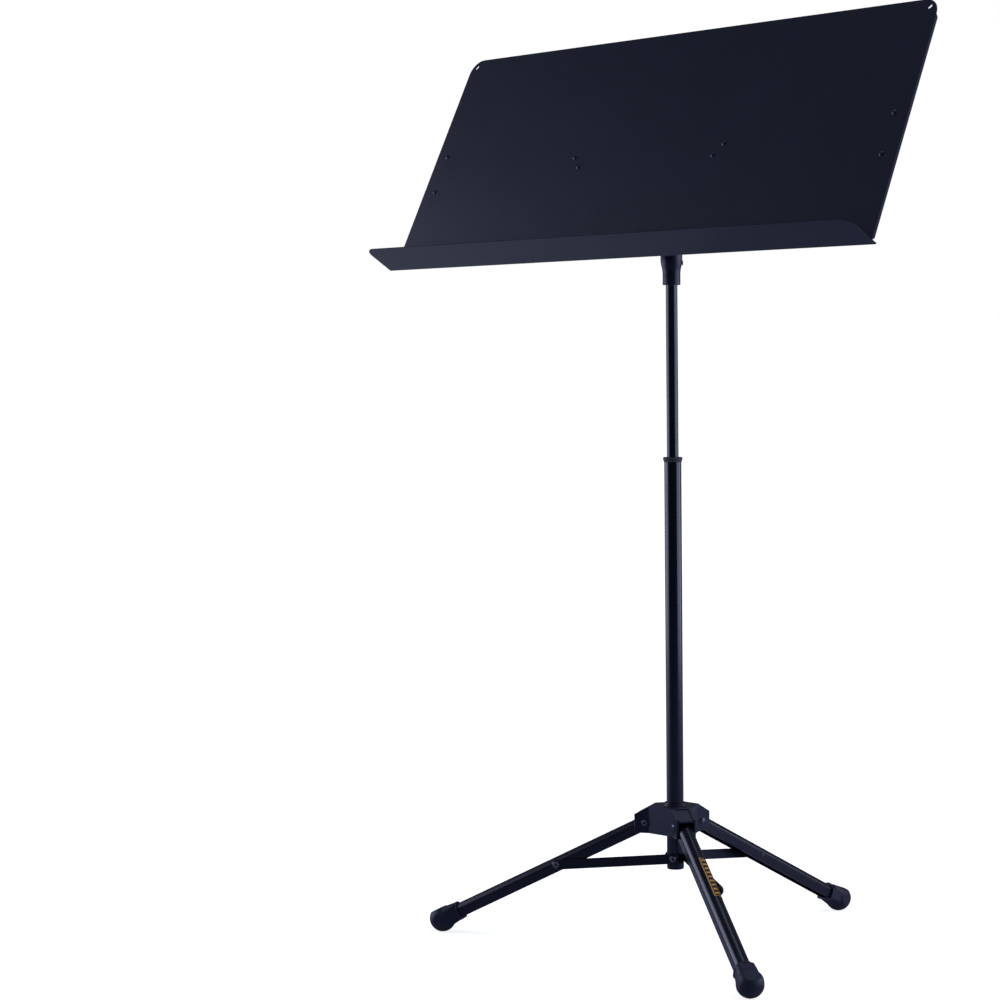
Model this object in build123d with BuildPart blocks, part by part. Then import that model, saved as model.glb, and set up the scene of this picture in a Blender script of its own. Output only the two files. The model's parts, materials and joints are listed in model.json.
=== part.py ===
from build123d import *
import os
from math import asin, atan2, cos, degrees, hypot, radians, sin, sqrt

# Music stand: a wide sheet-steel desk on a two-section pole, over a folding tripod base.
# Millimetres, +Z up, floor at Z = 0. The reader stands on the -Y side.
# The origin is the bottom centre of the bounding box; the pole stands POLE_Y from it.

# ---- base ---------------------------------------------------------------------------------
FOOT_R = 319.0  # pole axis to the centre of a foot's ball
POLE_Y = -FOOT_R / 4  # centres the three feet on the origin
LEG_AZIMUTHS = {"front_left": -150.0, "front_right": -30.0, "rear": 90.0}
BALL_R = 17.5
BALL_Z = 17.2  # slightly under BALL_R, so that each foot has a small flat
LEG_PIVOT_R = 37.5
LEG_PIVOT_Z = 158.0
LEG_HALF = 9.5  # half the leg's width
LEG_TOP = 9.25  # half the leg's height
LEG_WALL = 1.5
LEG_SPRING = 2.6  # height where the leg's arched top starts
GROOVE_DEPTH = 0.7
GROOVE_HEIGHT = 1.8
LEG_STOP = 7.0  # the bar ends this far before the ball's centre
BOOT_LENGTH = 28.0
BOOT_WALL = 2.9
BOOT_LIP = 3.0
BALL_SIDE = 15.6  # the ball is cut back to this far each side of the leg
BALL_TOP = 13.8
BALL_EDGE = 3.0
JOINT_DISTANCE = 133.7  # leg pivot to strut joint, along the leg

STRUT_PIVOT_Z = 113.0
STRUT_NEAR = 11.5  # sideways distance from the pole axis to the strut's inner face
STRUT_THICK = 2.5
STRUT_HEIGHT = 12.7

HUB_BOTTOM = 145.0
HUB_TOP = 181.0
HUB_ARM_HALF = 13.0
HUB_SLOT_HALF = 10.0
HUB_ARM_R = 51.5
HUB_BEND_R = 31.8  # where an arm's cheek turns into a side panel
HUB_ROOF_R = 30.0
HUB_ROOF_DROP = 12.0
HUB_WALL = 3.0
HUB_SLOT_R = 17.5
HUB_COLLAR_R = 16.0
HUB_COLLAR_HEIGHT = 4.0
HUB_BORE_R = 12.6
HUB_BEVEL = 1.0

PIN_R = 2.5
RUNNING = 0.05  # radial clearance of a running fit
GAP = 0.3  # side clearance between moving faces

# ---- pole ---------------------------------------------------------------------------------
LOWER_R = 11.0
LOWER_WALL = 1.5
LOWER_BOTTOM = 100.0
LOWER_TOP = 626.0
UPPER_R = 7.5
UPPER_WALL = 1.2
UPPER_BOTTOM = 360.0
UPPER_TOP = 955.0
COLLAR_TOP = 630.6
GLIDE_LENGTH = 30.0

# ---- head ---------------------------------------------------------------------------------
HEAD_BOTTOM = 851.0
HEAD_NECK_R = 11.4
HEAD_NECK_TOP = 865.0
HEAD_R = 14.0
HEAD_FLARE_TOP = 884.0
HEAD_SHOULDER = 968.0
TONGUE_HALF = 8.0
TILT_Z = 990.0
SCREW_Z = 879.0
SCREW_AZIMUTH = 45.0

# ---- desk ---------------------------------------------------------------------------------
TILT = 25.7  # lean back from upright at rest
TILT_OFFSET = 51.5  # desk face to the tilt axis
TILT_V = 145.0  # shelf bend to the tilt axis, up the desk
SHEET = 1.2
BEND_R = 1.0
DESK_TOP_WIDTH = 822.0
DESK_LOW_WIDTH = 842.0
DESK_HEIGHT = 326.0
DESK_CORNER = 22.0
SHELF_WIDTH = 858.0
SHELF_DEPTH = 54.5
SHELF_RISE = 5.6  # the shelf leans in from square by this angle
SHELF_CORNER = 15.0
SHELF_TAB = 3.0  # height up the desk that stays as wide as the shelf
FLANGE_DEPTH = 5.0
FLANGE_START = 8.0
FLANGE_CHAMFER = 3.0
SLOT_U = 399.4
SLOT_V = 314.6
SLOT_LENGTH = 6.4
SLOT_WIDTH = 3.6

BRACE_SHEET = 1.5
BRACE_V = 146.0
BRACE_HALF = 18.0
BRACE_END = 406.0
BRACE_PLATE = 22.0
BRACE_PLATE_HALF = 38.0
BRACE_FLANGE_END = 370.0
BRACE_FLANGE = 10.0
YOKE_SHEET = 2.0
YOKE_HALF_LENGTH = 144.0
YOKE_HALF_HEIGHT = 14.0
EAR_NEAR = 9.2
EAR_R = 13.0
RIVET_R = 1.6
RIVET_HEAD_R = 3.3
SIDE_RIVETS = [(u, v) for u in (-395.0, 395.0) for v in (119.5, 174.0)]
CENTRE_RIVETS = [(s * u, v) for s in (-1, 1) for u, v in ((132.6, 153.8), (119.8, 138.8))]

BOLT_R = 3.0
WASHER_SHEET = 1.2
NUT_ACROSS = 10.0
NUT_HEIGHT = 6.0

# ---- worked out from the above ------------------------------------------------------------
LEG_DROP = LEG_PIVOT_Z - BALL_Z
LEG_REACH = FOOT_R - LEG_PIVOT_R
LEG_LENGTH = hypot(LEG_REACH, LEG_DROP)
LEG_ANGLE = degrees(atan2(LEG_DROP, LEG_REACH))
JOINT_R = LEG_PIVOT_R + JOINT_DISTANCE * cos(radians(LEG_ANGLE))
JOINT_Z = LEG_PIVOT_Z - JOINT_DISTANCE * sin(radians(LEG_ANGLE))
STRUT_LENGTH = hypot(JOINT_R, STRUT_PIVOT_Z - JOINT_Z)
STRUT_ANGLE = degrees(asin((STRUT_PIVOT_Z - JOINT_Z) / STRUT_LENGTH))
STRUT_FAR = STRUT_NEAR + STRUT_THICK

# Folding to legs upright lifts the hub by this much and turns each strut by this angle.
FOLDED_RISE = sqrt(STRUT_LENGTH**2 - LEG_PIVOT_R**2)
HUB_TRAVEL = STRUT_PIVOT_Z + FOLDED_RISE + JOINT_DISTANCE - LEG_PIVOT_Z
LEG_TURN = 90.0 - LEG_ANGLE
STRUT_TURN = degrees(atan2(FOLDED_RISE, LEG_PIVOT_R)) + STRUT_ANGLE

UP_Y = sin(radians(TILT))
UP_Z = cos(radians(TILT))
FACE = Vector(0, -UP_Z, UP_Y)  # out of the desk's face, towards the reader
UP_DESK = Vector(0, UP_Y, UP_Z)
TILT_POINT = Vector(0, POLE_Y, TILT_Z)
BEND_POINT = TILT_POINT - UP_DESK * TILT_V + FACE * TILT_OFFSET


# ---- planes and places --------------------------------------------------------------------
def outward(azimuth):
    """Unit vector away from the pole."""
    return Vector(cos(radians(azimuth)), sin(radians(azimuth)), 0)


def sideways(azimuth):
    """Unit vector square to outward, counter-clockwise seen from above."""
    return Vector(-sin(radians(azimuth)), cos(radians(azimuth)), 0)


def at_pole(z):
    """Point on the pole axis."""
    return Vector(0, POLE_Y, z)


def pole_plane(z):
    """Level plane centred on the pole."""
    return Plane(origin=at_pole(z), x_dir=(1, 0, 0), z_dir=(0, 0, 1))


def side_plane(azimuth, offset):
    """Upright plane beside the pole: local x is the radius and local y is Z."""
    origin = at_pole(0) + sideways(azimuth) * offset
    return Plane(origin=origin, x_dir=outward(azimuth), z_dir=-sideways(azimuth))


def cross_axis(azimuth, radius, z, offset, towards=1):
    """Plane square to a leg's pivot axis, facing sideways (or back, for towards=-1)."""
    origin = at_pole(z) + outward(azimuth) * radius + sideways(azimuth) * offset
    return Plane(origin=origin, x_dir=outward(azimuth), z_dir=sideways(azimuth) * towards)


def leg_direction(azimuth):
    """Unit vector from a leg's pivot to its foot."""
    down = Vector(0, 0, -sin(radians(LEG_ANGLE)))
    return outward(azimuth) * cos(radians(LEG_ANGLE)) + down


def leg_point(azimuth, distance):
    """Point on a leg's centre line."""
    pivot = at_pole(LEG_PIVOT_Z) + outward(azimuth) * LEG_PIVOT_R
    return pivot + leg_direction(azimuth) * distance


def leg_section_plane(azimuth, distance):
    """Plane across a leg: local x is sideways and local y is up from the leg."""
    origin = leg_point(azimuth, distance)
    return Plane(origin=origin, x_dir=sideways(azimuth), z_dir=leg_direction(azimuth))


def leg_side_plane(azimuth, offset):
    """Plane along a leg: local x runs from the pivot to the foot."""
    origin = leg_point(azimuth, 0) + sideways(azimuth) * offset
    return Plane(origin=origin, x_dir=leg_direction(azimuth), z_dir=-sideways(azimuth))


def desk_plane(lift=0.0):
    """Plane of the desk's face: local x runs across and local y up from the shelf bend."""
    return Plane(origin=BEND_POINT + FACE * lift, x_dir=(1, 0, 0), z_dir=FACE)


def desk_side_plane(u):
    """Plane square to the desk's width: local x is out of the face and local y up the desk."""
    return Plane(origin=BEND_POINT + Vector(u, 0, 0), x_dir=FACE, z_dir=(-1, 0, 0))


def save(piece, name):
    """Labels a finished piece and writes its STEP file."""
    piece.part.label = name
    export_step(piece.part, f"parts/{name}.step")


def turned(outline):
    """Solid turned about Z from (radius, height) points."""
    with BuildPart() as piece:
        with BuildSketch(Plane.XZ):
            with BuildLine():
                Polyline(*outline, close=True)
            make_face()
        revolve(axis=Axis.Z)
    return piece.part


def placed(shape, planes):
    """One copy of a shape on each plane."""
    with BuildPart() as piece:
        with Locations(*planes):
            add(shape)
    return piece


# ---- fasteners ----------------------------------------------------------------------------
def domed_rivet(grip):
    """Rivet with a domed head above Z = 0 and a flat tail below the grip."""
    dome = 1.8
    tail_r = 2.4
    tail = 1.2
    with BuildPart() as piece:
        with BuildSketch(Plane.XZ):
            with BuildLine():
                Polyline(
                    (0, dome),
                    (0, -grip - tail),
                    (tail_r, -grip - tail),
                    (tail_r, -grip),
                    (RIVET_R, -grip),
                    (RIVET_R, 0),
                    (RIVET_HEAD_R, 0),
                    (RIVET_HEAD_R, 0.5),
                )
                TangentArc((0, dome), (RIVET_HEAD_R, 0.5), tangent=(1, 0))
            make_face()
        revolve(axis=Axis.Z)
    return piece.part


def rolled_end(radius, height, bore_depth):
    """Points of a rolled, hollow rivet end that stands on Z = 0, from its bore outwards."""
    bore = 1.4
    edge = 0.5
    return [
        (0, height - bore_depth),
        (bore, height - bore_depth),
        (bore, height - edge),
        (bore + edge, height),
        (radius - edge, height),
        (radius, height - edge),
        (radius, 0),
    ]


def strut_pivot_rivet():
    """Rivet from the end plug out through the tube and a strut; Z = 0 is the head's seat."""
    inner = 3.0
    length = STRUT_FAR + GAP - inner
    return turned(rolled_end(4.2, 1.9, 4.0) + [(PIN_R, 0), (PIN_R, -length), (0, -length)])


def leg_pivot_rivet():
    """Rivet through both cheeks of a hub arm; Z = 0 is the seat of its rolled end."""
    length = 2 * HUB_ARM_HALF
    head_r = 4.4
    head = [(head_r, -length), (head_r, -length - 0.8), (head_r - 1.4, -length - 2.1)]
    stem = [(PIN_R, 0), (PIN_R, -length)]
    return turned(rolled_end(4.0, 1.5, 3.5) + stem + head + [(0, -length - 2.4)])


def strut_end_rivet():
    """Rivet at a strut's outer end; Z = 0 is the strut's outer face."""
    length = STRUT_FAR - LEG_HALF - GAP
    return turned(rolled_end(4.6, 1.9, 3.0) + [(PIN_R, 0), (PIN_R, -length), (0, -length)])


def leg_cross_pin():
    """Pin across a leg, flush with its strut side; Z = 0 is that face."""
    length = 2 * LEG_HALF
    crown = 0.3
    end = -length - crown
    return turned([(0, 0), (PIN_R, 0), (PIN_R, -length), (PIN_R - crown, end), (0, end)])


def ring(outer, inner, height):
    """Plain washer or bush standing on Z = 0."""
    with BuildPart() as piece:
        with BuildSketch():
            Circle(outer)
            Circle(inner, mode=Mode.SUBTRACT)
        extrude(amount=height)
    return piece.part


# ---- base ---------------------------------------------------------------------------------
def make_lower_tube():
    """Outer pole tube, with three rivet holes near its foot."""
    with BuildPart() as piece:
        with BuildSketch(pole_plane(LOWER_BOTTOM)):
            Circle(LOWER_R)
            Circle(LOWER_R - LOWER_WALL, mode=Mode.SUBTRACT)
        extrude(amount=LOWER_TOP - LOWER_BOTTOM)
        for azimuth in LEG_AZIMUTHS.values():
            with BuildSketch(cross_axis(azimuth, 0, STRUT_PIVOT_Z, 0)):
                Circle(PIN_R)
            extrude(amount=LOWER_R + 1, mode=Mode.SUBTRACT)
    return piece


def make_tube_end_plug():
    """Plug that closes the lower tube and backs the strut rivets."""
    lip = 1.7
    height = 24.0
    bore = LOWER_R - LOWER_WALL
    with BuildPart() as piece:
        with BuildSketch(pole_plane(LOWER_BOTTOM - lip)):
            Circle(LOWER_R - 0.2)
        extrude(amount=lip)
        fillet(piece.faces().sort_by(Axis.Z)[0].edges(), radius=1.2)
        with BuildSketch(pole_plane(LOWER_BOTTOM)):
            Circle(bore)
        extrude(amount=height)
        for azimuth in LEG_AZIMUTHS.values():
            with BuildSketch(cross_axis(azimuth, 0, STRUT_PIVOT_Z, 3.0)):
                Circle(PIN_R)
            extrude(amount=bore, mode=Mode.SUBTRACT)
    return piece


def make_strut_pivot_rivets():
    """The three rivets that the struts turn on."""
    seat = STRUT_FAR + GAP
    planes = [cross_axis(a, 0, STRUT_PIVOT_Z, seat) for a in LEG_AZIMUTHS.values()]
    return placed(strut_pivot_rivet(), planes)


def make_strut_pivot_washers():
    """Thin washers between the lower tube and the struts."""
    planes = [cross_axis(a, 0, STRUT_PIVOT_Z, LOWER_R) for a in LEG_AZIMUTHS.values()]
    return placed(ring(4.5, PIN_R, 0.3), planes)


def cheek_rims(piece):
    """Outer edges of the hub's cheeks: along each sloping roof and down each arm's end."""
    rims = []
    for azimuth in LEG_AZIMUTHS.values():
        for edge in piece.edges().filter_by(GeomType.LINE):
            spot = edge.center() - at_pole(HUB_BOTTOM)
            on_side = abs(abs(spot.dot(sideways(azimuth))) - HUB_ARM_HALF) < 0.01
            if on_side and spot.dot(outward(azimuth)) > HUB_BEND_R + 1 and spot.Z > 1:
                rims.append(edge)
    return rims


def make_hub():
    """Moulded hub: a core with three side panels and three slotted arms under sloping roofs."""
    height = HUB_TOP - HUB_BOTTOM
    past = HUB_ARM_R + 2
    past_drop = HUB_ROOF_DROP * (past - HUB_ROOF_R) / (HUB_ARM_R - HUB_ROOF_R)
    bend_r = hypot(HUB_BEND_R, HUB_ARM_HALF)
    bend_angle = degrees(atan2(HUB_ARM_HALF, HUB_BEND_R))
    corners = []
    for azimuth in sorted(LEG_AZIMUTHS.values()):
        for side in (-1, 1):
            corners.append(outward(azimuth + side * bend_angle) * bend_r)
    with BuildPart() as piece:
        with BuildSketch(pole_plane(HUB_BOTTOM)):
            with BuildLine():
                Polyline(*[(c.X, c.Y) for c in corners], close=True)
            make_face()
            for azimuth in LEG_AZIMUTHS.values():
                middle = outward(azimuth) * (HUB_ARM_R / 2)
                with Locations(Location((middle.X, middle.Y, 0), (0, 0, azimuth))):
                    Rectangle(HUB_ARM_R, 2 * HUB_ARM_HALF)
        extrude(amount=height)
        for azimuth in LEG_AZIMUTHS.values():
            # sloping roof, slot for the leg, recess in the roof between the cheeks
            with BuildSketch(side_plane(azimuth, HUB_ARM_HALF + 1)):
                with BuildLine():
                    Polyline(
                        (HUB_ROOF_R, HUB_TOP),
                        (past, HUB_TOP - past_drop),
                        (past, HUB_TOP + 1),
                        (HUB_ROOF_R, HUB_TOP + 1),
                        close=True,
                    )
                make_face()
            extrude(amount=2 * HUB_ARM_HALF + 2, mode=Mode.SUBTRACT)
            with BuildSketch(side_plane(azimuth, HUB_SLOT_HALF)):
                with BuildLine():
                    Polyline(
                        (HUB_SLOT_R, HUB_BOTTOM - 1),
                        (HUB_SLOT_R, HUB_TOP - HUB_WALL - 2),
                        (HUB_ROOF_R, HUB_TOP - HUB_WALL - 2),
                        (past, HUB_TOP - past_drop - HUB_WALL - 0.5),
                        (past, HUB_BOTTOM - 1),
                        close=True,
                    )
                make_face()
            extrude(amount=2 * HUB_SLOT_HALF, mode=Mode.SUBTRACT)
            with BuildSketch(side_plane(azimuth, HUB_SLOT_HALF - 1)):
                with BuildLine():
                    Polyline(
                        (HUB_ROOF_R + 1.0, HUB_TOP - 2.1),
                        (past, HUB_TOP - past_drop - 1.5),
                        (past, HUB_TOP + 1),
                        (HUB_ROOF_R + 1.0, HUB_TOP + 1),
                        close=True,
                    )
                make_face()
            extrude(amount=2 * HUB_SLOT_HALF - 2, mode=Mode.SUBTRACT)
            with BuildSketch(cross_axis(azimuth, LEG_PIVOT_R, LEG_PIVOT_Z, -HUB_ARM_HALF)):
                Circle(PIN_R)
            extrude(amount=2 * HUB_ARM_HALF, mode=Mode.SUBTRACT)
            # hollow behind the side panel that lies half way to the next arm
            with BuildSketch(pole_plane(HUB_BOTTOM)):
                panel = azimuth + 60
                face_r = bend_r * cos(radians(60 - bend_angle)) - HUB_WALL
                near = 17.0
                points = [(near, -1.5), (near, 1.5), (face_r, 14.0), (face_r, -14.0)]
                with BuildLine():
                    turned_points = [
                        outward(panel) * x + sideways(panel) * y for x, y in points
                    ]
                    Polyline(*[(p.X, p.Y) for p in turned_points], close=True)
                make_face()
            extrude(amount=height - 4, mode=Mode.SUBTRACT)
        with BuildSketch(pole_plane(HUB_TOP)):
            Circle(HUB_COLLAR_R)
        with BuildSketch(pole_plane(HUB_TOP + HUB_COLLAR_HEIGHT)):
            Circle(HUB_BORE_R + 0.8)
        loft()
        with BuildSketch(pole_plane(HUB_BOTTOM)):
            Circle(HUB_BORE_R)
        extrude(amount=height + HUB_COLLAR_HEIGHT + 1, mode=Mode.SUBTRACT)
        chamfer(cheek_rims(piece), length=HUB_BEVEL)
    return piece


def make_hub_bush():
    """Nylon bush in the hub that slides on the lower tube."""
    height = HUB_TOP - HUB_BOTTOM
    return placed(ring(HUB_BORE_R, LOWER_R + RUNNING, height), [pole_plane(HUB_BOTTOM)])


def make_leg_pivot_rivets():
    """The three rivets that the legs turn on."""
    azimuths = LEG_AZIMUTHS.values()
    planes = [cross_axis(a, LEG_PIVOT_R, LEG_PIVOT_Z, HUB_ARM_HALF) for a in azimuths]
    return placed(leg_pivot_rivet(), planes)


def leg_outline(plane):
    """Outside of a leg's section: straight sides, a groove along each, and an arched top."""
    low = LEG_SPRING - GROOVE_HEIGHT
    in_x = LEG_HALF - GROOVE_DEPTH
    in_low = low + GROOVE_DEPTH / 2
    in_high = LEG_SPRING - GROOVE_DEPTH / 2
    right = [
        (LEG_HALF, -LEG_TOP),
        (LEG_HALF, low),
        (in_x, in_low),
        (in_x, in_high),
        (LEG_HALF, LEG_SPRING),
    ]
    left = [(-x, y) for x, y in reversed(right)]
    with BuildSketch(plane) as outline:
        with BuildLine():
            Polyline(*right)
            ThreePointArc((LEG_HALF, LEG_SPRING), (0, LEG_TOP), (-LEG_HALF, LEG_SPRING))
            Polyline(*left, right[0])
        make_face()
    return outline.sketch


def leg_hollow(plane):
    """Inside of a leg's section, open at the bottom."""
    inner = LEG_HALF - LEG_WALL
    spring = LEG_SPRING - 1.0
    with BuildSketch(plane) as hollow:
        with BuildLine():
            Polyline((inner, spring), (inner, -LEG_TOP - 1), (-inner, -LEG_TOP - 1), (-inner, spring))
            ThreePointArc((-inner, spring), (0, LEG_TOP - LEG_WALL), (inner, spring))
        make_face()
    return hollow.sketch


def make_leg(azimuth):
    """Pressed leg: an arched channel with a round end at its pivot."""
    start = -LEG_TOP - 1
    bar = LEG_LENGTH - LEG_STOP
    across = 2 * LEG_HALF + 2
    with BuildPart() as piece:
        extrude(leg_outline(leg_section_plane(azimuth, start)), amount=bar - start)
        extrude(
            leg_hollow(leg_section_plane(azimuth, start - 1)),
            amount=bar - start + 2,
            mode=Mode.SUBTRACT,
        )
        with BuildSketch(leg_side_plane(azimuth, LEG_HALF + 1)):
            Circle(LEG_TOP)
            with Locations((bar / 2, 0)):
                Rectangle(bar, 2 * LEG_TOP)
        extrude(amount=across, mode=Mode.INTERSECT)
        with BuildSketch(leg_side_plane(azimuth, LEG_HALF + 1)):
            Circle(PIN_R + RUNNING)
            with Locations((JOINT_DISTANCE, 0)):
                Circle(PIN_R)
        extrude(amount=across, mode=Mode.SUBTRACT)
    return piece


def foot_ball(azimuth):
    """Ball end of a boot, flattened on top and on both sides."""
    reach = 2 * BALL_R
    with BuildPart() as piece:
        with Locations(leg_section_plane(azimuth, LEG_LENGTH)):
            Sphere(BALL_R)
        with BuildSketch(leg_section_plane(azimuth, LEG_LENGTH - BALL_R)):
            with Locations((0, BALL_TOP - reach / 2)):
                Rectangle(2 * BALL_SIDE, reach)
        extrude(amount=reach, mode=Mode.INTERSECT)
        fillet(piece.edges(), radius=BALL_EDGE)
    return piece.part


def make_foot(azimuth):
    """Rubber boot: a lipped sleeve over the leg's end that swells into a ball with a small flat."""
    start = LEG_LENGTH - BOOT_LENGTH
    neck = start + BOOT_LIP
    shoulder = LEG_LENGTH - 4
    with BuildPart() as piece:
        with BuildSketch(leg_section_plane(azimuth, start)):
            add(leg_outline(Plane.XY))
            offset(amount=BOOT_WALL, kind=Kind.ARC)
        extrude(amount=BOOT_LIP)
        with BuildSketch(leg_section_plane(azimuth, neck)):
            RectangleRounded(2 * (LEG_HALF + 2.2), 2 * (LEG_TOP + 2.2), 4)
        with BuildSketch(leg_section_plane(azimuth, shoulder)):
            with Locations((0, -0.7)):
                RectangleRounded(2 * BALL_SIDE - 1.6, 2 * BALL_TOP + 0.6, 10)
        loft()
        add(foot_ball(azimuth))
        extrude(
            leg_outline(leg_section_plane(azimuth, start - 1)),
            amount=BOOT_LENGTH - LEG_STOP + 1,
            mode=Mode.SUBTRACT,
        )
        split(bisect_by=Plane.XY, keep=Keep.TOP)
    return piece


def make_strut_pin(azimuth):
    """Cross pin at the strut joint, in the leg."""
    plane = cross_axis(azimuth, JOINT_R, JOINT_Z, LEG_HALF)
    return placed(leg_cross_pin(), [plane])


def make_leg_band(azimuth):
    """Thin plain label laid over one side of a leg's arched top."""
    start = 78.0
    length = 79.0
    skin = 0.25
    near = -2.5
    far = LEG_HALF + skin
    low = LEG_SPRING + 0.4
    with BuildPart() as piece:
        with BuildSketch(leg_section_plane(azimuth, start)):
            add(leg_outline(Plane.XY))
            offset(amount=skin, kind=Kind.ARC)
        extrude(amount=length)
        extrude(
            leg_outline(leg_section_plane(azimuth, start - 1)),
            amount=length + 2,
            mode=Mode.SUBTRACT,
        )
        with BuildSketch(leg_section_plane(azimuth, start - 1)):
            with Locations(((near + far) / 2, low + LEG_TOP / 2)):
                Rectangle(far - near, LEG_TOP)
        extrude(amount=length + 2, mode=Mode.INTERSECT)
    return piece


def strut_plane(azimuth):
    """Plane of a strut's outer face: local x runs from the pole to the strut joint."""
    slope = outward(azimuth) * cos(radians(STRUT_ANGLE)) + Vector(0, 0, -sin(radians(STRUT_ANGLE)))
    origin = at_pole(STRUT_PIVOT_Z) + sideways(azimuth) * STRUT_FAR
    return Plane(origin=origin, x_dir=slope, z_dir=-sideways(azimuth))


def make_strut(azimuth):
    """Flat strut with round ends: a running hole at the pole and a rivet hole at the leg."""
    with BuildPart() as piece:
        with BuildSketch(strut_plane(azimuth)):
            with Locations((STRUT_LENGTH / 2, 0)):
                SlotCenterToCenter(STRUT_LENGTH, STRUT_HEIGHT)
            Circle(PIN_R + RUNNING, mode=Mode.SUBTRACT)
            with Locations((STRUT_LENGTH, 0)):
                Circle(PIN_R, mode=Mode.SUBTRACT)
        extrude(amount=STRUT_THICK)
        broad = piece.faces().sort_by(SortBy.AREA)[-2:]
        chamfer([edge for face in broad for edge in face.outer_wire().edges()], length=0.4)
    return piece


def make_strut_rivet(azimuth):
    """Rivet at a strut's outer end."""
    return placed(strut_end_rivet(), [cross_axis(azimuth, JOINT_R, JOINT_Z, STRUT_FAR)])


def make_strut_spacer(azimuth):
    """Nylon spacer between a strut and its leg."""
    near = LEG_HALF + GAP
    plane = cross_axis(azimuth, JOINT_R, JOINT_Z, near)
    return placed(ring(5.0, PIN_R, STRUT_NEAR - near), [plane])


# ---- pole ---------------------------------------------------------------------------------
def make_clutch_bush():
    """Flanged bush in the lower tube's mouth, grooved for the grip ring."""
    sleeve = 30.0
    bore = UPPER_R + RUNNING
    groove_z = LOWER_TOP - 12
    outline = [
        (bore, LOWER_TOP - sleeve),
        (LOWER_R - LOWER_WALL, LOWER_TOP - sleeve),
        (LOWER_R - LOWER_WALL, LOWER_TOP),
        (LOWER_R, LOWER_TOP),
        (LOWER_R, LOWER_TOP - 1.8),
        (LOWER_R + 0.6, LOWER_TOP - 1.8),
        (LOWER_R + 0.6, LOWER_TOP),
        (LOWER_R + 1.4, LOWER_TOP + 0.4),
        (LOWER_R + 1.4, COLLAR_TOP - 0.6),
        (LOWER_R + 0.9, COLLAR_TOP),
        (bore + 0.6, COLLAR_TOP),
        (bore, COLLAR_TOP - 0.6),
        (bore, groove_z + 8),
        (bore + 1.1, groove_z + 8),
        (bore + 1.1, groove_z),
        (bore, groove_z),
    ]
    return placed(turned(outline), [pole_plane(0)])


def make_clutch_ring():
    """Grip ring in the clutch bush; the upper tube runs through it."""
    groove_z = LOWER_TOP - 12
    shape = ring(UPPER_R + RUNNING + 1.1, UPPER_R + RUNNING / 2, 8.0)
    return placed(shape, [pole_plane(groove_z)])


def make_glide_bush():
    """Nylon sleeve that slides in the lower tube while the upper tube turns in it."""
    outer = LOWER_R - LOWER_WALL - RUNNING
    shape = ring(outer, UPPER_R + RUNNING, GLIDE_LENGTH)
    return placed(shape, [pole_plane(UPPER_BOTTOM + GAP)])


def make_upper_tube():
    """Inner pole tube, with the hole for the head's screw."""
    with BuildPart() as piece:
        with BuildSketch(pole_plane(UPPER_BOTTOM)):
            Circle(UPPER_R)
            Circle(UPPER_R - UPPER_WALL, mode=Mode.SUBTRACT)
        extrude(amount=UPPER_TOP - UPPER_BOTTOM)
        with BuildSketch(cross_axis(SCREW_AZIMUTH - 90, 0, SCREW_Z, 0)):
            Circle(2.0)
        extrude(amount=UPPER_R + 1, mode=Mode.SUBTRACT)
    return piece


def make_upper_tube_plug():
    """Plug in the upper tube's foot; its flange carries the glide bush."""
    flange = 3.0
    stem = 20.0
    outline = [
        (0, UPPER_BOTTOM - flange),
        (8.6, UPPER_BOTTOM - flange),
        (9.2, UPPER_BOTTOM - flange + 0.6),
        (9.2, UPPER_BOTTOM),
        (UPPER_R - UPPER_WALL, UPPER_BOTTOM),
        (UPPER_R - UPPER_WALL, UPPER_BOTTOM + stem),
        (0, UPPER_BOTTOM + stem),
    ]
    return placed(turned(outline), [pole_plane(0)])


def make_stop_ring():
    """Ring fixed on the upper tube above the glide bush."""
    z = UPPER_BOTTOM + GLIDE_LENGTH + 2 * GAP
    return placed(ring(9.2, UPPER_R, 3.0), [pole_plane(z)])


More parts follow.
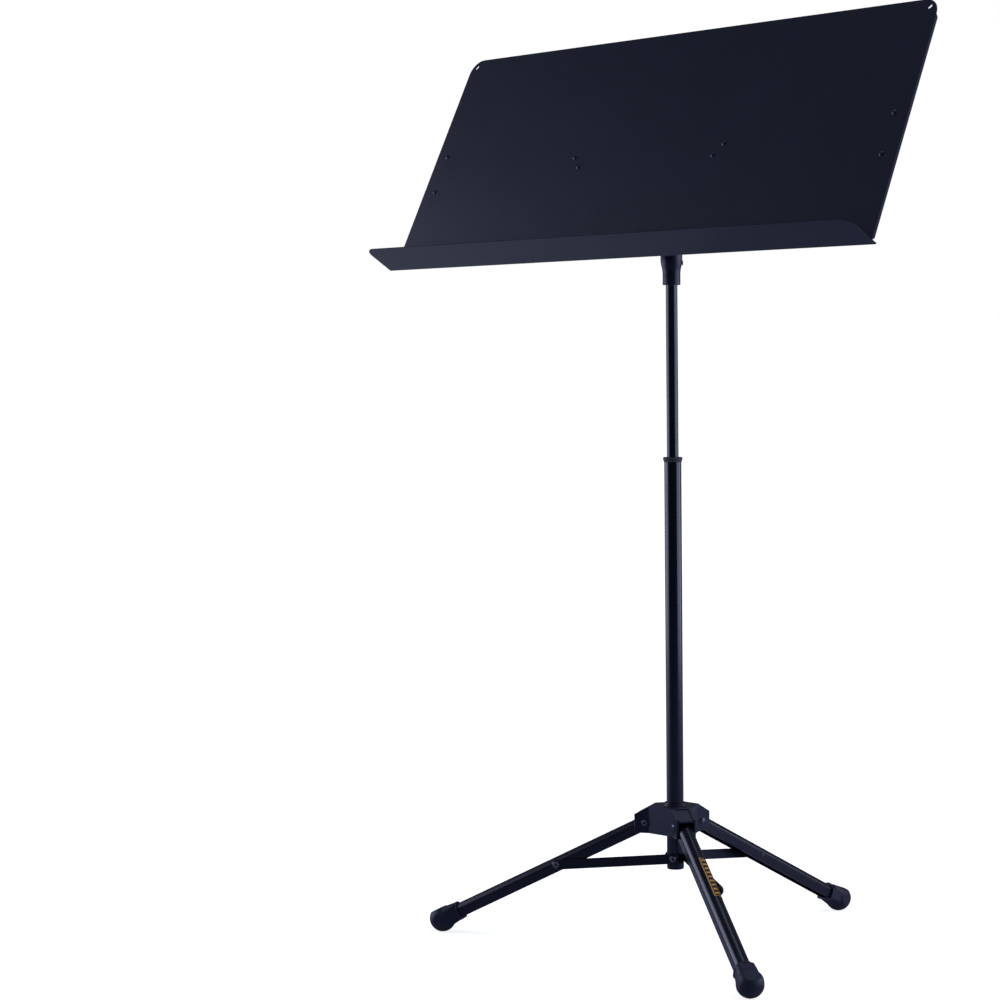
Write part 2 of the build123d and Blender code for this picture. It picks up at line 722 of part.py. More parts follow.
def make_tilt_head():
    """Moulded head on the upper tube: a flared socket with a flat tongue for the tilt bolt."""
    seat = 0.4
    with BuildPart() as piece:
        with BuildSketch(Plane(origin=at_pole(0), x_dir=(1, 0, 0), z_dir=(0, -1, 0))):
            with BuildLine():
                Polyline(
                    (0, HEAD_BOTTOM),
                    (HEAD_NECK_R - 0.5, HEAD_BOTTOM),
                    (HEAD_NECK_R, HEAD_BOTTOM + 0.5),
                    (HEAD_NECK_R, HEAD_NECK_TOP),
                )
                Spline(
                    (HEAD_NECK_R, HEAD_NECK_TOP),
                    (HEAD_R, HEAD_FLARE_TOP),
                    tangents=[(0, 1), (0, 1)],
                )
                Polyline(
                    (HEAD_R, HEAD_FLARE_TOP),
                    (HEAD_R, HEAD_SHOULDER - 2),
                    (HEAD_R - 2, HEAD_SHOULDER),
                    (0, HEAD_SHOULDER),
                    (0, HEAD_BOTTOM),
                )
            make_face()
        revolve(axis=Axis(at_pole(0), (0, 0, 1)))
        tongue_side = at_pole(0) - Vector(TONGUE_HALF, 0, 0)
        tongue_low = HEAD_SHOULDER - 6
        with BuildSketch(Plane(origin=tongue_side, x_dir=(0, 1, 0), z_dir=(1, 0, 0))):
            with Locations((0, (tongue_low + TILT_Z) / 2)):
                Rectangle(2 * (HEAD_R - 1), TILT_Z - tongue_low)
            with Locations((0, TILT_Z)):
                Circle(HEAD_R - 1)
                Circle(BOLT_R + RUNNING, mode=Mode.SUBTRACT)
        extrude(amount=2 * TONGUE_HALF)
        with BuildSketch(pole_plane(HEAD_BOTTOM)):
            Circle(UPPER_R)
        extrude(amount=UPPER_TOP - HEAD_BOTTOM, mode=Mode.SUBTRACT)
        with BuildSketch(cross_axis(SCREW_AZIMUTH - 90, 0, SCREW_Z, 0)):
            Circle(2.0)
        extrude(amount=HEAD_R + 1, mode=Mode.SUBTRACT)
        with BuildSketch(cross_axis(SCREW_AZIMUTH - 90, 0, SCREW_Z, HEAD_R - seat)):
            Circle(3.8)
        extrude(amount=2, mode=Mode.SUBTRACT)
    return piece


def make_head_screw():
    """Pan-head screw that holds the head on the upper tube."""
    seat = HEAD_R - 0.4
    head = [(0, 0.4), (1.0, 0.4), (1.0, 1.4), (2.4, 1.2), (3.4, 0.6), (3.5, 0)]
    shape = turned(head + [(2.0, 0), (2.0, -(seat - 5.4)), (0, -(seat - 5.4))])
    return placed(shape, [cross_axis(SCREW_AZIMUTH - 90, 0, SCREW_Z, seat)])


# ---- desk ---------------------------------------------------------------------------------
def desk_edge(v):
    """Half the desk's width at a height up the desk."""
    share = v / DESK_HEIGHT
    return (DESK_LOW_WIDTH + (DESK_TOP_WIDTH - DESK_LOW_WIDTH) * share) / 2


def desk_section():
    """Side section of the bent sheet: shelf underside, tip, shelf top, face, top edge and back."""
    rise = radians(SHELF_RISE)
    along = Vector(cos(rise), sin(rise))
    thick = Vector(-sin(rise), cos(rise)) * SHEET
    heel = Vector(-SHEET, 0)
    tip = heel + along * SHELF_DEPTH
    inner = heel + thick + along * ((-heel.X - thick.X) / along.X)
    points = [heel, tip, tip + thick, inner, Vector(0, DESK_HEIGHT), Vector(-SHEET, DESK_HEIGHT)]
    with BuildSketch(desk_side_plane(SHELF_WIDTH / 2)) as section:
        with BuildLine():
            Polyline(*[(p.X, p.Y) for p in points], close=True)
        make_face()
        fillet(section.vertices().sort_by_distance(heel)[0], BEND_R + SHEET)
        fillet(section.vertices().sort_by_distance(inner)[0], BEND_R)
    return section.sketch


def desk_outline():
    """Front outline of the desk sheet, drawn flat."""
    half = SHELF_WIDTH / 2
    right = [
        (half, -SHEET),
        (half, SHELF_TAB),
        (desk_edge(FLANGE_START), FLANGE_START),
        (desk_edge(DESK_HEIGHT), DESK_HEIGHT),
    ]
    left = [(-u, v) for u, v in reversed(right)]
    with BuildSketch() as outline:
        with BuildLine():
            Polyline(*right, *left, close=True)
        make_face()
        fillet(outline.vertices().sort_by(Axis.Y)[-2:], DESK_CORNER)
    return outline.sketch


def side_flange(side):
    """Strip of the desk's face that one folded-back side flange stands on, drawn flat."""
    top = DESK_HEIGHT - DESK_CORNER
    low = side * desk_edge(FLANGE_START)
    high = side * desk_edge(top)
    inset = side * SHEET
    points = [(low, FLANGE_START), (high, top), (high - inset, top), (low - inset, FLANGE_START)]
    with BuildSketch() as strip:
        with BuildLine():
            Polyline(*points, close=True)
        make_face()
    return strip.sketch


def make_desk_panel():
    """One sheet: the desk, its front shelf, and a folded-back flange down each side."""
    depth = 4 * SHEET
    with BuildPart() as piece:
        extrude(desk_section(), amount=SHELF_WIDTH)
        with BuildSketch(desk_plane(1)):
            with Locations((0, SHELF_TAB + DESK_HEIGHT / 2)):
                Rectangle(SHELF_WIDTH + 2, DESK_HEIGHT)
            add(desk_outline(), mode=Mode.SUBTRACT)
        extrude(amount=-depth, mode=Mode.SUBTRACT)
        with BuildSketch(desk_plane()):
            add(side_flange(-1))
            add(side_flange(1))
        extrude(amount=-FLANGE_DEPTH)
        # ends of the flanges, front corners of the shelf, bends of the flanges
        across = piece.edges().filter_by(lambda edge: abs(edge.length - SHEET) < 0.01)
        chamfer(across.sort_by(Axis(BEND_POINT, FACE))[:4], length=FLANGE_CHAMFER)
        fillet(across.sort_by(Axis(BEND_POINT, FACE))[-2:], radius=SHELF_CORNER)
        face = piece.faces().sort_by_distance(BEND_POINT + UP_DESK * (DESK_HEIGHT / 2))[0]
        sides = face.edges().sort_by(SortBy.LENGTH).filter_by(lambda edge: 200 < edge.length < 300)
        fillet(sides, radius=BEND_R)
        with BuildSketch(desk_plane(1)):
            with Locations(*SIDE_RIVETS, *CENTRE_RIVETS):
                Circle(RIVET_R)
            with Locations((-SLOT_U, SLOT_V), (SLOT_U, SLOT_V)):
                SlotOverall(SLOT_LENGTH, SLOT_WIDTH, rotation=45)
        extrude(amount=-depth, mode=Mode.SUBTRACT)
    return piece


def make_back_brace():
    """Folded channel behind the desk, with a riveted plate at each end."""
    taper = BRACE_PLATE + 12
    right = [
        (BRACE_END, BRACE_V - BRACE_PLATE_HALF),
        (BRACE_END, BRACE_V + BRACE_PLATE_HALF),
        (BRACE_END - BRACE_PLATE, BRACE_V + BRACE_PLATE_HALF),
        (BRACE_END - taper, BRACE_V + BRACE_HALF),
    ]
    left = [(-u, v) for u, v in reversed(right)]
    below = [(u, 2 * BRACE_V - v) for u, v in (right[3], right[2])]
    points = right + left[:2] + left[2:] + [(-u, v) for u, v in reversed(below)] + below
    with BuildPart() as piece:
        with BuildSketch(desk_plane(-SHEET)):
            with BuildLine():
                Polyline(*points, close=True)
            make_face()
        extrude(amount=-BRACE_SHEET)
        with BuildSketch(desk_plane(-SHEET)):
            edge_v = BRACE_HALF - BRACE_SHEET / 2
            with Locations((0, BRACE_V - edge_v), (0, BRACE_V + edge_v)):
                Rectangle(2 * BRACE_FLANGE_END, BRACE_SHEET)
        extrude(amount=-BRACE_FLANGE)
        with BuildSketch(desk_plane()):
            with Locations(*SIDE_RIVETS, *CENTRE_RIVETS):
                Circle(RIVET_R)
        extrude(amount=-3 * SHEET, mode=Mode.SUBTRACT)
    return piece


def make_tilt_yoke():
    """Plate behind the brace with two ears that hold the tilt bolt."""
    back = SHEET + BRACE_SHEET
    with BuildPart() as piece:
        with BuildSketch(desk_plane(-back)):
            with Locations((0, BRACE_V)):
                RectangleRounded(2 * YOKE_HALF_LENGTH, 2 * YOKE_HALF_HEIGHT, 4)
            with Locations(*CENTRE_RIVETS):
                Circle(RIVET_R, mode=Mode.SUBTRACT)
        extrude(amount=-YOKE_SHEET)
        with BuildSketch(desk_side_plane(EAR_NEAR + YOKE_SHEET), desk_side_plane(-EAR_NEAR)):
            with Locations((-back - YOKE_SHEET / 2, BRACE_V)):
                Rectangle(YOKE_SHEET, 2 * YOKE_HALF_HEIGHT)
            with Locations((-TILT_OFFSET, TILT_V)):
                Circle(EAR_R)
            make_hull()
            with Locations((-TILT_OFFSET, TILT_V)):
                Circle(BOLT_R, mode=Mode.SUBTRACT)
        extrude(amount=YOKE_SHEET)
    return piece


def desk_rivets(spots, grip):
    """Domed rivets through the desk at a list of spots."""
    return placed(domed_rivet(grip), [desk_plane() * Pos(u, v, 0) for u, v in spots])


def across_plane(x, towards=1):
    """Plane square to the tilt axis, facing +X (or -X, for towards=-1)."""
    return Plane(origin=TILT_POINT + Vector(x, 0, 0), x_dir=UP_DESK, z_dir=(towards, 0, 0))


def make_tilt_bolt():
    """Hexagon bolt along the tilt axis, its head on the -X side."""
    seat = EAR_NEAR + YOKE_SHEET + WASHER_SHEET
    head = 4.0
    with BuildPart() as piece:
        with BuildSketch(across_plane(-seat, -1)):
            RegularPolygon(NUT_ACROSS / 2, 6, major_radius=False)
        extrude(amount=head)
        chamfer(piece.faces().sort_by(Axis.X)[0].edges(), length=0.5)
        with BuildSketch(across_plane(-seat)):
            Circle(BOLT_R)
        extrude(amount=2 * seat + NUT_HEIGHT + 1.5)
        chamfer(piece.faces().sort_by(Axis.X)[-1].edges(), length=0.6)
    return piece


def make_tilt_nut():
    """Lock nut on the tilt bolt."""
    with BuildPart() as piece:
        with BuildSketch(across_plane(EAR_NEAR + YOKE_SHEET + WASHER_SHEET)):
            RegularPolygon(NUT_ACROSS / 2, 6, major_radius=False)
            Circle(BOLT_R, mode=Mode.SUBTRACT)
        extrude(amount=NUT_HEIGHT)
        chamfer(piece.faces().sort_by(Axis.X)[-1].outer_wire().edges(), length=0.6)
    return piece


def make_steel_washers():
    """Washers under the tilt bolt's head and nut."""
    seat = EAR_NEAR + YOKE_SHEET
    planes = [across_plane(-seat, -1), across_plane(seat)]
    return placed(ring(6.0, BOLT_R, WASHER_SHEET), planes)


def make_friction_washers():
    """Nylon washers between the yoke's ears and the head's tongue."""
    near = TONGUE_HALF + 0.2
    planes = [across_plane(-near, -1), across_plane(near)]
    return placed(ring(9.0, BOLT_R, EAR_NEAR - near), planes)


# ---- assembly -----------------------------------------------------------------------------
os.makedirs("parts", exist_ok=True)

save(make_lower_tube(), "lower_tube")
save(make_tube_end_plug(), "tube_end_plug")
save(make_strut_pivot_rivets(), "strut_pivot_rivets")
save(make_strut_pivot_washers(), "strut_pivot_washers")
save(make_hub(), "leg_hub")
save(make_hub_bush(), "hub_bush")
save(make_leg_pivot_rivets(), "leg_pivot_rivets")
for side, azimuth in LEG_AZIMUTHS.items():
    save(make_leg(azimuth), f"leg_{side}")
    save(make_foot(azimuth), f"foot_{side}")
    save(make_strut_pin(azimuth), f"strut_pin_{side}")
    save(make_strut(azimuth), f"strut_{side}")
    save(make_strut_rivet(azimuth), f"strut_rivet_{side}")
    save(make_strut_spacer(azimuth), f"strut_spacer_{side}")
save(make_leg_band(LEG_AZIMUTHS["front_right"]), "leg_band")

save(make_clutch_bush(), "clutch_bush")
save(make_clutch_ring(), "clutch_ring")
save(make_glide_bush(), "glide_bush")
save(make_upper_tube(), "upper_tube")
save(make_upper_tube_plug(), "upper_tube_plug")
save(make_stop_ring(), "stop_ring")
save(make_tilt_head(), "tilt_head")
save(make_head_screw(), "head_screw")

save(make_desk_panel(), "desk_panel")
save(make_back_brace(), "back_brace")
save(make_tilt_yoke(), "tilt_yoke")
save(desk_rivets(SIDE_RIVETS, SHEET + BRACE_SHEET), "side_rivets")
save(desk_rivets(CENTRE_RIVETS, SHEET + BRACE_SHEET + YOKE_SHEET), "centre_rivets")
save(make_tilt_bolt(), "tilt_bolt")
save(make_tilt_nut(), "tilt_nut")
save(make_steel_washers(), "steel_washers")
save(make_friction_washers(), "friction_washers")
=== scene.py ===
import json
from math import cos, pi, radians, sin

import bpy
from mathutils import Matrix, Vector

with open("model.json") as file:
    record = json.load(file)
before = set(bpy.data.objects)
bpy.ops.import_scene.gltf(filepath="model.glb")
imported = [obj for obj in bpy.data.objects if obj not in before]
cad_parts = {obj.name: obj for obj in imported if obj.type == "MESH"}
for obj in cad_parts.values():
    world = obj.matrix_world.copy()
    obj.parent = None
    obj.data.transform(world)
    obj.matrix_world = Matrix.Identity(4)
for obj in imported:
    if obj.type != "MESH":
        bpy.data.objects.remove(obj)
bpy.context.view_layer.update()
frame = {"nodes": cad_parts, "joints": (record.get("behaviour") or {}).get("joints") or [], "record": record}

JOINTS = {joint["name"]: joint for joint in frame["joints"]}
POLE = Vector(JOINTS["desk_swivel"]["pos_m"])
BALL_HEIGHT = 0.0172  # of a boot's ball centre above its sole

LIGHT_TINT = (0.80, 0.85, 1.0)
SHINE_TINT = (0.60, 0.64, 1.0, 1.0)

# The band's gold frame and ticks.
FRAME_INSET, FRAME_WIDTH = 0.0013, 0.0009
TICK_PITCH, TICK_WIDTH, TICK_SLANT = 0.0084, 0.0038, 0.35
TICK_INSET = 0.0030

# The room, which reflections see and the camera doesn't.
ROOM_TINT = (0.75, 0.80, 1.0, 1)
ROOM = 0.09

# The floor. Its own glow keeps it pale near the stand and grows to full white further out.
FLOOR_REACH = 60.0
FLOOR_FILL = 0.78
GLOW_START, GLOW_FULL = 1.0, 3.5

# What reflections see of the floor: a painted pool of light, bright on the left and dimming between two X
# places.
LIGHT_POOL_FULL_X, LIGHT_POOL_END_X = -1.6, -0.6
PAINTED_LIGHT_POOL = (0.95, 0.96, 1.0)
BEYOND_LIGHT_POOL = (0.4048, 0.4324, 0.575)


# ---- shader helpers -----------------------------------------------------------------------
class Nodes:
    """An emptied node tree, with short ways to add and link nodes."""

    def __init__(self, owner):
        owner.use_nodes = True
        self.tree = owner.node_tree
        self.tree.nodes.clear()

    def node(self, kind, **settings):
        made = self.tree.nodes.new(kind)
        for key, value in settings.items():
            setattr(made, key, value)
        return made

    def link(self, source, target):
        self.tree.links.new(source, target)

    def object_coordinates(self):
        return self.node("ShaderNodeTexCoord").outputs["Object"]

    def along(self, axis, vector):
        """One axis of a vector, as X, Y or Z."""
        made = self.node("ShaderNodeSeparateXYZ")
        self.link(vector, made.inputs["Vector"])
        return made.outputs[axis]

    def spread(self, value, low, high, to_low, to_high):
        made = self.node("ShaderNodeMapRange")
        for socket, number in zip(made.inputs[1:5], (low, high, to_low, to_high)):
            socket.default_value = number
        self.link(value, made.inputs[0])
        return made.outputs[0]

    def mix(self, share, a, b):
        made = self.node("ShaderNodeMix", data_type="RGBA")
        for socket, value in zip((made.inputs[0], made.inputs[6], made.inputs[7]), (share, a, b)):
            if isinstance(value, tuple):
                socket.default_value = (*value, 1)
            elif isinstance(value, (int, float)):
                socket.default_value = value
            else:
                self.link(value, socket)
        return made.outputs[2]

    def camera_sees(self, seen, unseen, output_kind):
        """Ends the tree: camera rays meet the first shader and all other rays the second."""
        choose = self.node("ShaderNodeMixShader")
        self.link(self.node("ShaderNodeLightPath").outputs["Is Camera Ray"], choose.inputs[0])
        self.link(unseen, choose.inputs[1])
        self.link(seen, choose.inputs[2])
        self.link(choose.outputs[0], self.node(output_kind).inputs["Surface"])


class Shader(Nodes):
    """A material's node tree, with a Principled shader and object coordinates in metres."""

    def __init__(self, name):
        self.material = bpy.data.materials.new(name)
        super().__init__(self.material)
        self.surface = self.node("ShaderNodeBsdfPrincipled")
        self.surface.inputs["Specular Tint"].default_value = SHINE_TINT
        output = self.node("ShaderNodeOutputMaterial")
        self.link(self.surface.outputs["BSDF"], output.inputs["Surface"])
        self.coords = self.object_coordinates()

    def set(self, **values):
        """Sets plain values on the surface's sockets."""
        for key, value in values.items():
            self.surface.inputs[key.replace("_", " ")].default_value = value

    def mapped(self, matrix):
        """Object coordinates carried into another frame, given as that frame's matrix."""
        inverse = matrix.inverted()
        made = self.node("ShaderNodeMapping")
        made.inputs["Location"].default_value = inverse.to_translation()
        made.inputs["Rotation"].default_value = inverse.to_3x3().to_euler("XYZ")
        self.link(self.coords, made.inputs["Vector"])
        return made.outputs["Vector"]

    def scaled(self, scale):
        """Coordinates stretched by a different factor along each axis."""
        made = self.node("ShaderNodeMapping")
        made.inputs["Scale"].default_value = scale
        self.link(self.coords, made.inputs["Vector"])
        return made.outputs["Vector"]

    def noise(self, scale, detail=2.0, rough=0.5, vector=None):
        made = self.node("ShaderNodeTexNoise")
        made.inputs["Scale"].default_value = scale
        made.inputs["Detail"].default_value = detail
        made.inputs["Roughness"].default_value = rough
        self.link(vector or self.coords, made.inputs["Vector"])
        return made.outputs["Fac"]

    def cells(self, scale):
        made = self.node("ShaderNodeTexVoronoi")
        made.inputs["Scale"].default_value = scale
        self.link(self.coords, made.inputs["Vector"])
        return made.outputs["Distance"]

    def math(self, operation, a, b=0.0):
        made = self.node("ShaderNodeMath", operation=operation)
        for socket, value in zip(made.inputs, (a, b)):
            if isinstance(value, (int, float)):
                socket.default_value = value
            else:
                self.link(value, socket)
        return made.outputs[0]

    def apart(self, a, b):
        return self.math("ABSOLUTE", self.math("SUBTRACT", a, b))

    def tones(self, value, *stops):
        """Colour ramp from (place, colour) stops."""
        made = self.node("ShaderNodeValToRGB")
        ramp = made.color_ramp
        while len(ramp.elements) < len(stops):
            ramp.elements.new(0.5)
        for element, (place, colour) in zip(ramp.elements, stops):
            element.position = place
            element.color = (*colour, 1)
        self.link(value, made.inputs["Fac"])
        return made.outputs["Color"]

    def clouded(self, cloud, dark, light):
        """Two tones blended by the middle of a noise."""
        return self.mix(self.spread(cloud, 0.35, 0.65, 0, 1), dark, light)

    def colour(self, value):
        self.link(value, self.surface.inputs["Base Color"])

    def roughness(self, value, low, high):
        self.link(self.spread(value, 0.3, 0.7, low, high), self.surface.inputs["Roughness"])

    def bump(self, *layers):
        """Stacks bump layers of (height, depth in metres)."""
        last = None
        for height, depth in layers:
            made = self.node("ShaderNodeBump")
            made.inputs["Strength"].default_value = 1.0
            made.inputs["Distance"].default_value = depth
            self.link(height, made.inputs["Height"])
            if last:
                self.link(last, made.inputs["Normal"])
            last = made.outputs["Normal"]
        self.link(last, self.surface.inputs["Normal"])


# ---- materials ----------------------------------------------------------------------------
def desk_coat():
    """Satin powder coat: a fine pebbled skin over slow waves, duller on the folded sides."""
    shader = Shader("desk_black")
    shader.set(Specular_IOR_Level=0.5, Coat_Weight=0.0)
    cloud = shader.noise(9.0, 3.0)
    fleck = shader.noise(2600.0, 2.0)
    tone = shader.clouded(cloud, (0.0090, 0.0100, 0.0215), (0.0108, 0.0118, 0.0250))
    shader.colour(shader.mix(shader.spread(fleck, 0.55, 0.8, 0, 0.35), tone, (0.022, 0.024, 0.036)))
    facing = shader.along("X", shader.node("ShaderNodeTexCoord").outputs["Normal"])
    edge = shader.spread(shader.math("ABSOLUTE", facing), 0.5, 0.9, 0.0, 0.40)
    satin = shader.spread(shader.noise(420.0, 4.0), 0.3, 0.7, 0.34, 0.42)
    shader.link(shader.math("ADD", satin, edge), shader.surface.inputs["Roughness"])
    wave, pebble, pit = shader.noise(14.0, 1.0), shader.noise(900.0, 3.0), shader.cells(2400.0)
    shader.bump((wave, 0.0004), (pebble, 0.00003), (pit, 0.00001))
    return shader.material


def tube_coat():
    """Gloss enamel on drawn tube: long faint ripples and a little orange peel."""
    shader = Shader("black_tube")
    shader.set(Specular_IOR_Level=0.55, Coat_Weight=0.35, Coat_Roughness=0.12)
    drawn = shader.noise(60.0, 3.0, vector=shader.scaled((1, 1, 0.03)))
    tone = shader.clouded(drawn, (0.0028, 0.0028, 0.0045), (0.0045, 0.0045, 0.0070))
    shader.colour(tone)
    shader.roughness(shader.noise(300.0, 4.0), 0.15, 0.21)
    shader.bump((drawn, 0.00002), (shader.noise(500.0, 1.0), 0.000002))
    return shader.material


def leg_coat():
    """Satin enamel on the pressed legs, with faint marks along their length."""
    shader = Shader("leg_black")
    shader.set(Specular_IOR_Level=0.5, Coat_Weight=0.2, Coat_Roughness=0.25)
    cloud = shader.noise(35.0, 4.0)
    shader.colour(shader.clouded(cloud, (0.0040, 0.0042, 0.0085), (0.0070, 0.0072, 0.0130)))
    shader.roughness(shader.noise(500.0, 4.0), 0.20, 0.28)
    shader.bump((shader.noise(120.0, 2.0), 0.00004), (shader.noise(1100.0, 2.0), 0.000012))
    return shader.material


def strut_coat():
    """Flat black enamel on stamped steel."""
    shader = Shader("strut_black")
    shader.set(Specular_IOR_Level=0.45)
    cloud = shader.noise(60.0, 4.0)
    shader.colour(shader.clouded(cloud, (0.0030, 0.0031, 0.0056), (0.0052, 0.0053, 0.0086)))
    shader.roughness(shader.noise(800.0, 4.0), 0.30, 0.42)
    shader.bump((shader.noise(160.0, 3.0), 0.00004), (shader.noise(1800.0, 2.0), 0.00001))
    return shader.material


def moulded(name, dark, light, low, high, grain):
    """Glass-filled nylon as it leaves the mould: spark-eroded grain and soft flow marks."""
    shader = Shader(name)
    shader.set(Specular_IOR_Level=0.45)
    flow = shader.noise(55.0, 5.0, 0.6)
    pits = shader.cells(grain)
    shader.colour(shader.clouded(flow, dark, light))
    shader.roughness(shader.noise(900.0, 3.0), low, high)
    shader.bump((flow, 0.00006), (pits, 0.00004), (shader.noise(grain * 2, 2.0), 0.00002))
    return shader.material


def black_plastic():
    """Satin moulding of the hub and the head."""
    dark, light = (0.0095, 0.0098, 0.0190), (0.0145, 0.0150, 0.0270)
    return moulded("black_plastic", dark, light, 0.26, 0.36, 1500.0)


def collar_plastic():
    """Dull grey-black collar at the lower tube's mouth."""
    dark, light = (0.050, 0.050, 0.062), (0.070, 0.070, 0.084)
    return moulded("collar_plastic", dark, light, 0.66, 0.78, 1700.0)


def nylon():
    """Bushes and washers."""
    return moulded("nylon", (0.022, 0.022, 0.024), (0.032, 0.032, 0.034), 0.45, 0.6, 1200.0)


def rubber():
    """Soft black rubber with a bloom, dustier towards the floor."""
    shader = Shader("foot_rubber")
    shader.set(Specular_IOR_Level=0.4)
    low = shader.spread(shader.along("Z", shader.coords), 0.0, 0.014, 1.0, 0.0)
    patch = shader.spread(shader.noise(140.0, 5.0, 0.65), 0.40, 0.70, 0.0, 1.0)
    dust = shader.math("MULTIPLY", low, shader.math("ADD", shader.math("MULTIPLY", patch, 0.5), 0.2))
    tone = shader.mix(patch, (0.019, 0.0195, 0.036), (0.026, 0.0265, 0.046))
    shader.colour(shader.mix(dust, tone, (0.10, 0.095, 0.09)))
    shader.roughness(shader.noise(600.0, 4.0), 0.40, 0.55)
    shader.bump((shader.noise(180.0, 3.0), 0.00008), (shader.cells(1500.0), 0.00002))
    return shader.material


def blackened():
    """Dark burnished steel on rivets and screws, rubbed paler in patches."""
    shader = Shader("dark_steel")
    shader.set(Metallic=0.85, Specular_IOR_Level=0.5)
    rubbed = shader.spread(shader.noise(700.0, 5.0, 0.6), 0.45, 0.75, 0.0, 1.0)
    shader.colour(shader.mix(rubbed, (0.13, 0.13, 0.16), (0.28, 0.28, 0.33)))
    shader.roughness(shader.noise(1500.0, 3.0), 0.12, 0.20)
    shader.bump((shader.noise(1300.0, 3.0), 0.00002))
    return shader.material


def zinc():
    """Zinc-plated steel: fine streaks and a faint bluish cast."""
    shader = Shader("bright_steel")
    shader.set(Metallic=1.0)
    brushed = shader.noise(500.0, 4.0, vector=shader.scaled((8, 1, 1)))
    cloud = shader.noise(300.0, 2.0)
    shader.colour(shader.tones(cloud, (0.3, (0.42, 0.43, 0.46)), (0.7, (0.60, 0.60, 0.61))))
    shader.roughness(brushed, 0.22, 0.40)
    shader.bump((brushed, 0.00002))
    return shader.material


def foil(matrix, low, high):
    """Dark foil with a plain gold frame and slanted gold ticks, in the leg's own frame."""
    shader = Shader("band_foil")
    shader.set(Specular_IOR_Level=0.5, Coat_Weight=0.2, Coat_Roughness=0.15)
    own = shader.mapped(matrix)
    along, across = shader.along("X", own), shader.along("Y", own)
    mid = ((low[0] + high[0]) / 2, (low[1] + high[1]) / 2)
    half = ((high[0] - low[0]) / 2, (high[1] - low[1]) / 2)
    insets = []
    for place, centre, reach in zip((along, across), mid, half):
        insets.append(shader.math("SUBTRACT", reach, shader.apart(place, centre)))
    inset = shader.math("MINIMUM", *insets)
    line = shader.math("LESS_THAN", shader.apart(inset, FRAME_INSET), FRAME_WIDTH / 2)
    slant = shader.math("ADD", along, shader.math("MULTIPLY", across, TICK_SLANT))
    tick = shader.math("LESS_THAN", shader.math("PINGPONG", slant, TICK_PITCH / 2), TICK_WIDTH / 2)
    field = shader.math("GREATER_THAN", inset, TICK_INSET)
    marks = shader.math("MAXIMUM", line, shader.math("MULTIPLY", tick, field))
    worn = shader.spread(shader.noise(900.0, 4.0), 0.3, 0.7, 0.82, 1.0)
    marks = shader.math("MULTIPLY", marks, worn)
    shader.colour(shader.mix(marks, (0.010, 0.009, 0.008), (1.0, 0.50, 0.07)))
    shader.link(shader.math("MULTIPLY", marks, 0.2), shader.surface.inputs["Metallic"])
    shader.roughness(shader.noise(700.0, 3.0), 0.24, 0.34)
    shader.bump((shader.noise(260.0, 2.0), 0.00003))
    return shader.material


def paint(node, material):
    """Gives a CAD node one material."""
    slots = frame["nodes"][node].data.materials
    slots.clear()
    slots.append(material)


def leg_matrix(side):
    """Frame of a leg: X from its pivot to its foot, Y sideways, Z up from the leg."""
    pivot = Vector(JOINTS["leg_fold_" + side]["pos_m"])
    across = Vector(JOINTS["leg_fold_" + side]["axis"]).normalized()
    sole = next(m for m in frame["record"]["mounts"] if m["name"] == "foot_%s_base" % side)["pos_m"]
    foot = Vector(sole) + Vector((0, 0, BALL_HEIGHT))
    outward = across.cross(Vector((0, 0, 1)))
    along = foot - pivot
    along = (outward * along.dot(outward) + Vector((0, 0, along.z))).normalized()
    up = along.cross(across)
    matrix = Matrix((along, across, up)).transposed().to_4x4()
    matrix.translation = pivot
    return matrix


def dress():
    finishes = {
        "black_tube": tube_coat(),
        "desk_black": desk_coat(),
        "leg_black": leg_coat(),
        "strut_black": strut_coat(),
        "black_plastic": black_plastic(),
        "collar_plastic": collar_plastic(),
        "nylon": nylon(),
        "foot_rubber": rubber(),
        "dark_steel": blackened(),
        "bright_steel": zinc(),
    }
    for part in frame["record"]["subparts"]:
        if part["material_slot"] in finishes:
            paint(part["node"], finishes[part["material_slot"]])
    matrix = leg_matrix("front_right")
    inverse = matrix.inverted()
    corners = [inverse @ v.co for v in frame["nodes"]["leg_band"].data.vertices]
    low = [min(c[i] for c in corners) for i in (0, 1)]
    high = [max(c[i] for c in corners) for i in (0, 1)]
    paint("leg_band", foil(matrix, low, high))


# ---- studio -------------------------------------------------------------------------------
def floor_material():
    """Pale floor: near white to the camera; dimmer to reflections, with a painted pool of light brightest on
    the left.
    """
    material = bpy.data.materials.new("studio_floor")
    nodes = Nodes(material)
    coords = nodes.object_coordinates()

    mottle = nodes.node("ShaderNodeTexNoise")
    mottle.inputs["Scale"].default_value = 2.0
    nodes.link(coords, mottle.inputs["Vector"])
    paint_coat = nodes.node("ShaderNodeBsdfDiffuse")
    nodes.link(nodes.spread(mottle.outputs["Fac"], 0, 1, 0.86, 0.92), paint_coat.inputs["Color"])
    far = nodes.node("ShaderNodeVectorMath", operation="LENGTH")
    nodes.link(coords, far.inputs[0])
    glow = nodes.node("ShaderNodeEmission")
    nodes.link(
        nodes.spread(far.outputs["Value"], GLOW_START, GLOW_FULL, FLOOR_FILL, 1.0),
        glow.inputs["Strength"],
    )
    seen = nodes.node("ShaderNodeAddShader")
    nodes.link(paint_coat.outputs[0], seen.inputs[0])
    nodes.link(glow.outputs[0], seen.inputs[1])

    # Painted light: the floor's colour as reflections see it is a painted pool of light, bright on the left
    # and fading dimmer towards the right.
    out_of_light_pool = nodes.spread(nodes.along("X", coords), LIGHT_POOL_FULL_X, LIGHT_POOL_END_X, 0, 1)
    painted_pool_floor = nodes.node("ShaderNodeBsdfDiffuse")
    nodes.link(nodes.mix(out_of_light_pool, PAINTED_LIGHT_POOL, BEYOND_LIGHT_POOL), painted_pool_floor.inputs["Color"])
    nodes.camera_sees(seen.outputs[0], painted_pool_floor.outputs[0], "ShaderNodeOutputMaterial")
    return material


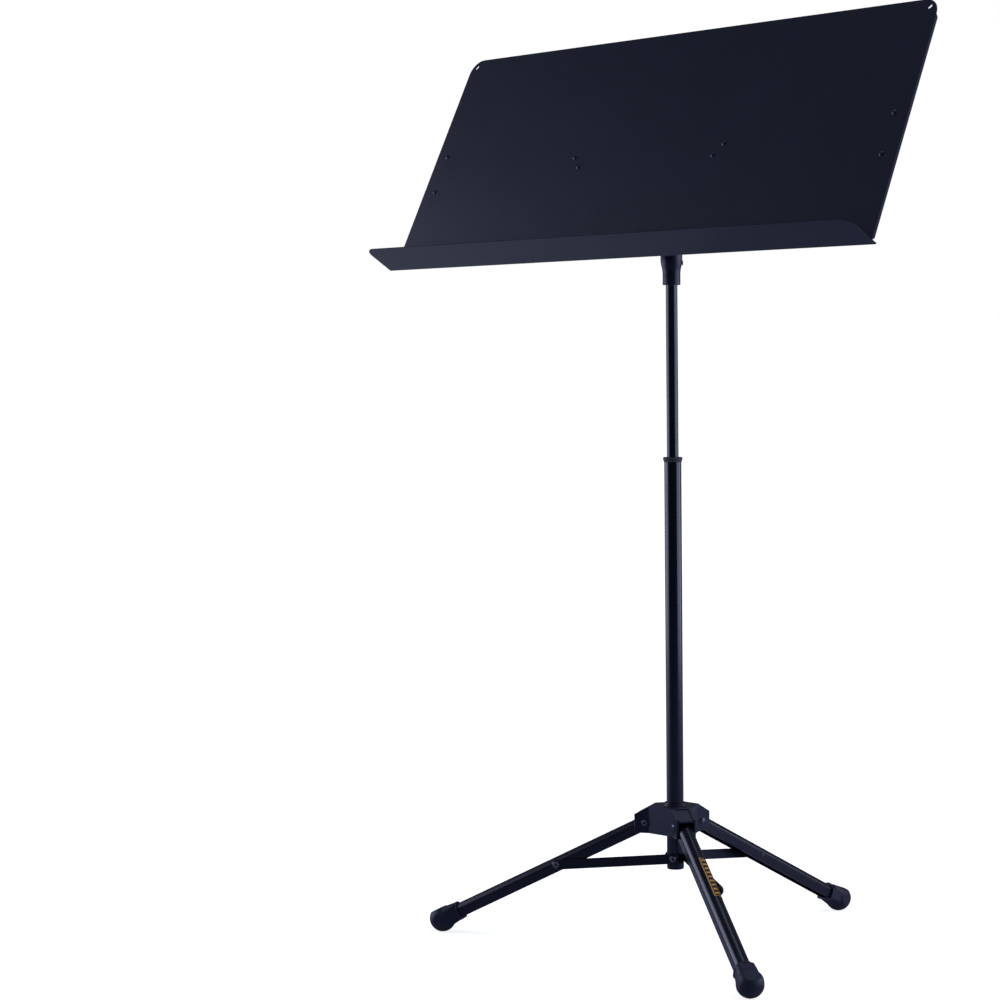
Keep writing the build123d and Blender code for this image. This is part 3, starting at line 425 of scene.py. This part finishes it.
def lay_floor():
    mesh = bpy.data.meshes.new("studio_floor")
    corners = [(x * FLOOR_REACH, y * FLOOR_REACH, 0) for x, y in ((-1, -1), (1, -1), (1, 1), (-1, 1))]
    mesh.from_pydata(corners, [], [(0, 1, 2, 3)])
    mesh.materials.append(floor_material())
    floor = bpy.data.objects.new("studio_floor", mesh)
    bpy.context.scene.collection.objects.link(floor)


def area_light(name, place, width, height, radiance):
    """Rectangular light, unseen by the camera and not yet turned; radiance is its brightness."""
    data = bpy.data.lights.new(name, "AREA")
    data.shape = "RECTANGLE"
    data.size, data.size_y = width, height
    data.energy = radiance * pi * width * height
    data.color = LIGHT_TINT
    light = bpy.data.objects.new(name, data)
    light.location = place
    light.visible_camera = False
    bpy.context.scene.collection.objects.link(light)
    return light


def bank(name, azimuth, distance, low, high, width, radiance):
    """Upright bank of light facing the pole; azimuth 0 stands on the reader's side."""
    a = radians(azimuth)
    outward = Vector((sin(a), -cos(a), 0)) * distance
    place = Vector((POLE.x, POLE.y, (low + high) / 2)) + outward
    light = area_light(name, place, width, high - low, radiance)
    light.rotation_euler = outward.to_track_quat("Z", "Y").to_euler()


def light_studio():
    """Two banks and an overhead light, in a room that only reflections see."""
    world = bpy.data.worlds.new("studio")
    bpy.context.scene.world = world
    nodes = Nodes(world)
    surroundings = []
    for colour, strength in (((1, 1, 1, 1), 1.0), (ROOM_TINT, ROOM)):
        made = nodes.node("ShaderNodeBackground")
        made.inputs["Color"].default_value = colour
        made.inputs["Strength"].default_value = strength
        surroundings.append(made.outputs[0])
    nodes.camera_sees(*surroundings, "ShaderNodeOutputWorld")
    bank("left_bank", azimuth=-55, distance=3.0, low=0.05, high=2.35, width=3.2, radiance=2.3)
    bank("right_bank", azimuth=130, distance=2.8, low=0.05, high=2.1, width=3.6, radiance=2.3)
    area_light("overhead", (POLE.x + 0.4, POLE.y + 0.5, 3.0), width=2.4, height=2.4, radiance=1.0)


def aim_camera():
    """Camera on the reader's right, below the desk, turned a little off the pole to frame it."""
    azimuth, distance, height = radians(44.209), 3.51476, 0.73619
    yaw, pitch, roll = radians(-3.6276), radians(-2.59), radians(-0.5581)
    ahead = Vector((-sin(azimuth), cos(azimuth), 0))
    right = Vector((cos(azimuth), sin(azimuth), 0))
    up = Vector((0, 0, 1))
    ahead, right = ahead * cos(yaw) + right * sin(yaw), right * cos(yaw) - ahead * sin(yaw)
    ahead, up = ahead * cos(pitch) + up * sin(pitch), up * cos(pitch) - ahead * sin(pitch)
    right, up = right * cos(roll) + up * sin(roll), up * cos(roll) - right * sin(roll)
    data = bpy.data.cameras.new("photo_view")
    data.sensor_width = 36.0
    data.lens = 98.35
    data.clip_end = 100.0
    camera = bpy.data.objects.new("photo_view", data)
    matrix = Matrix((right, up, -ahead)).transposed().to_4x4()
    matrix.translation = (POLE.x + distance * sin(azimuth), POLE.y - distance * cos(azimuth), height)
    camera.matrix_world = matrix
    bpy.context.scene.collection.objects.link(camera)
    bpy.context.scene.camera = camera
    bpy.context.scene.view_settings.view_transform = "Standard"


dress()
lay_floor()
light_studio()
aim_camera()
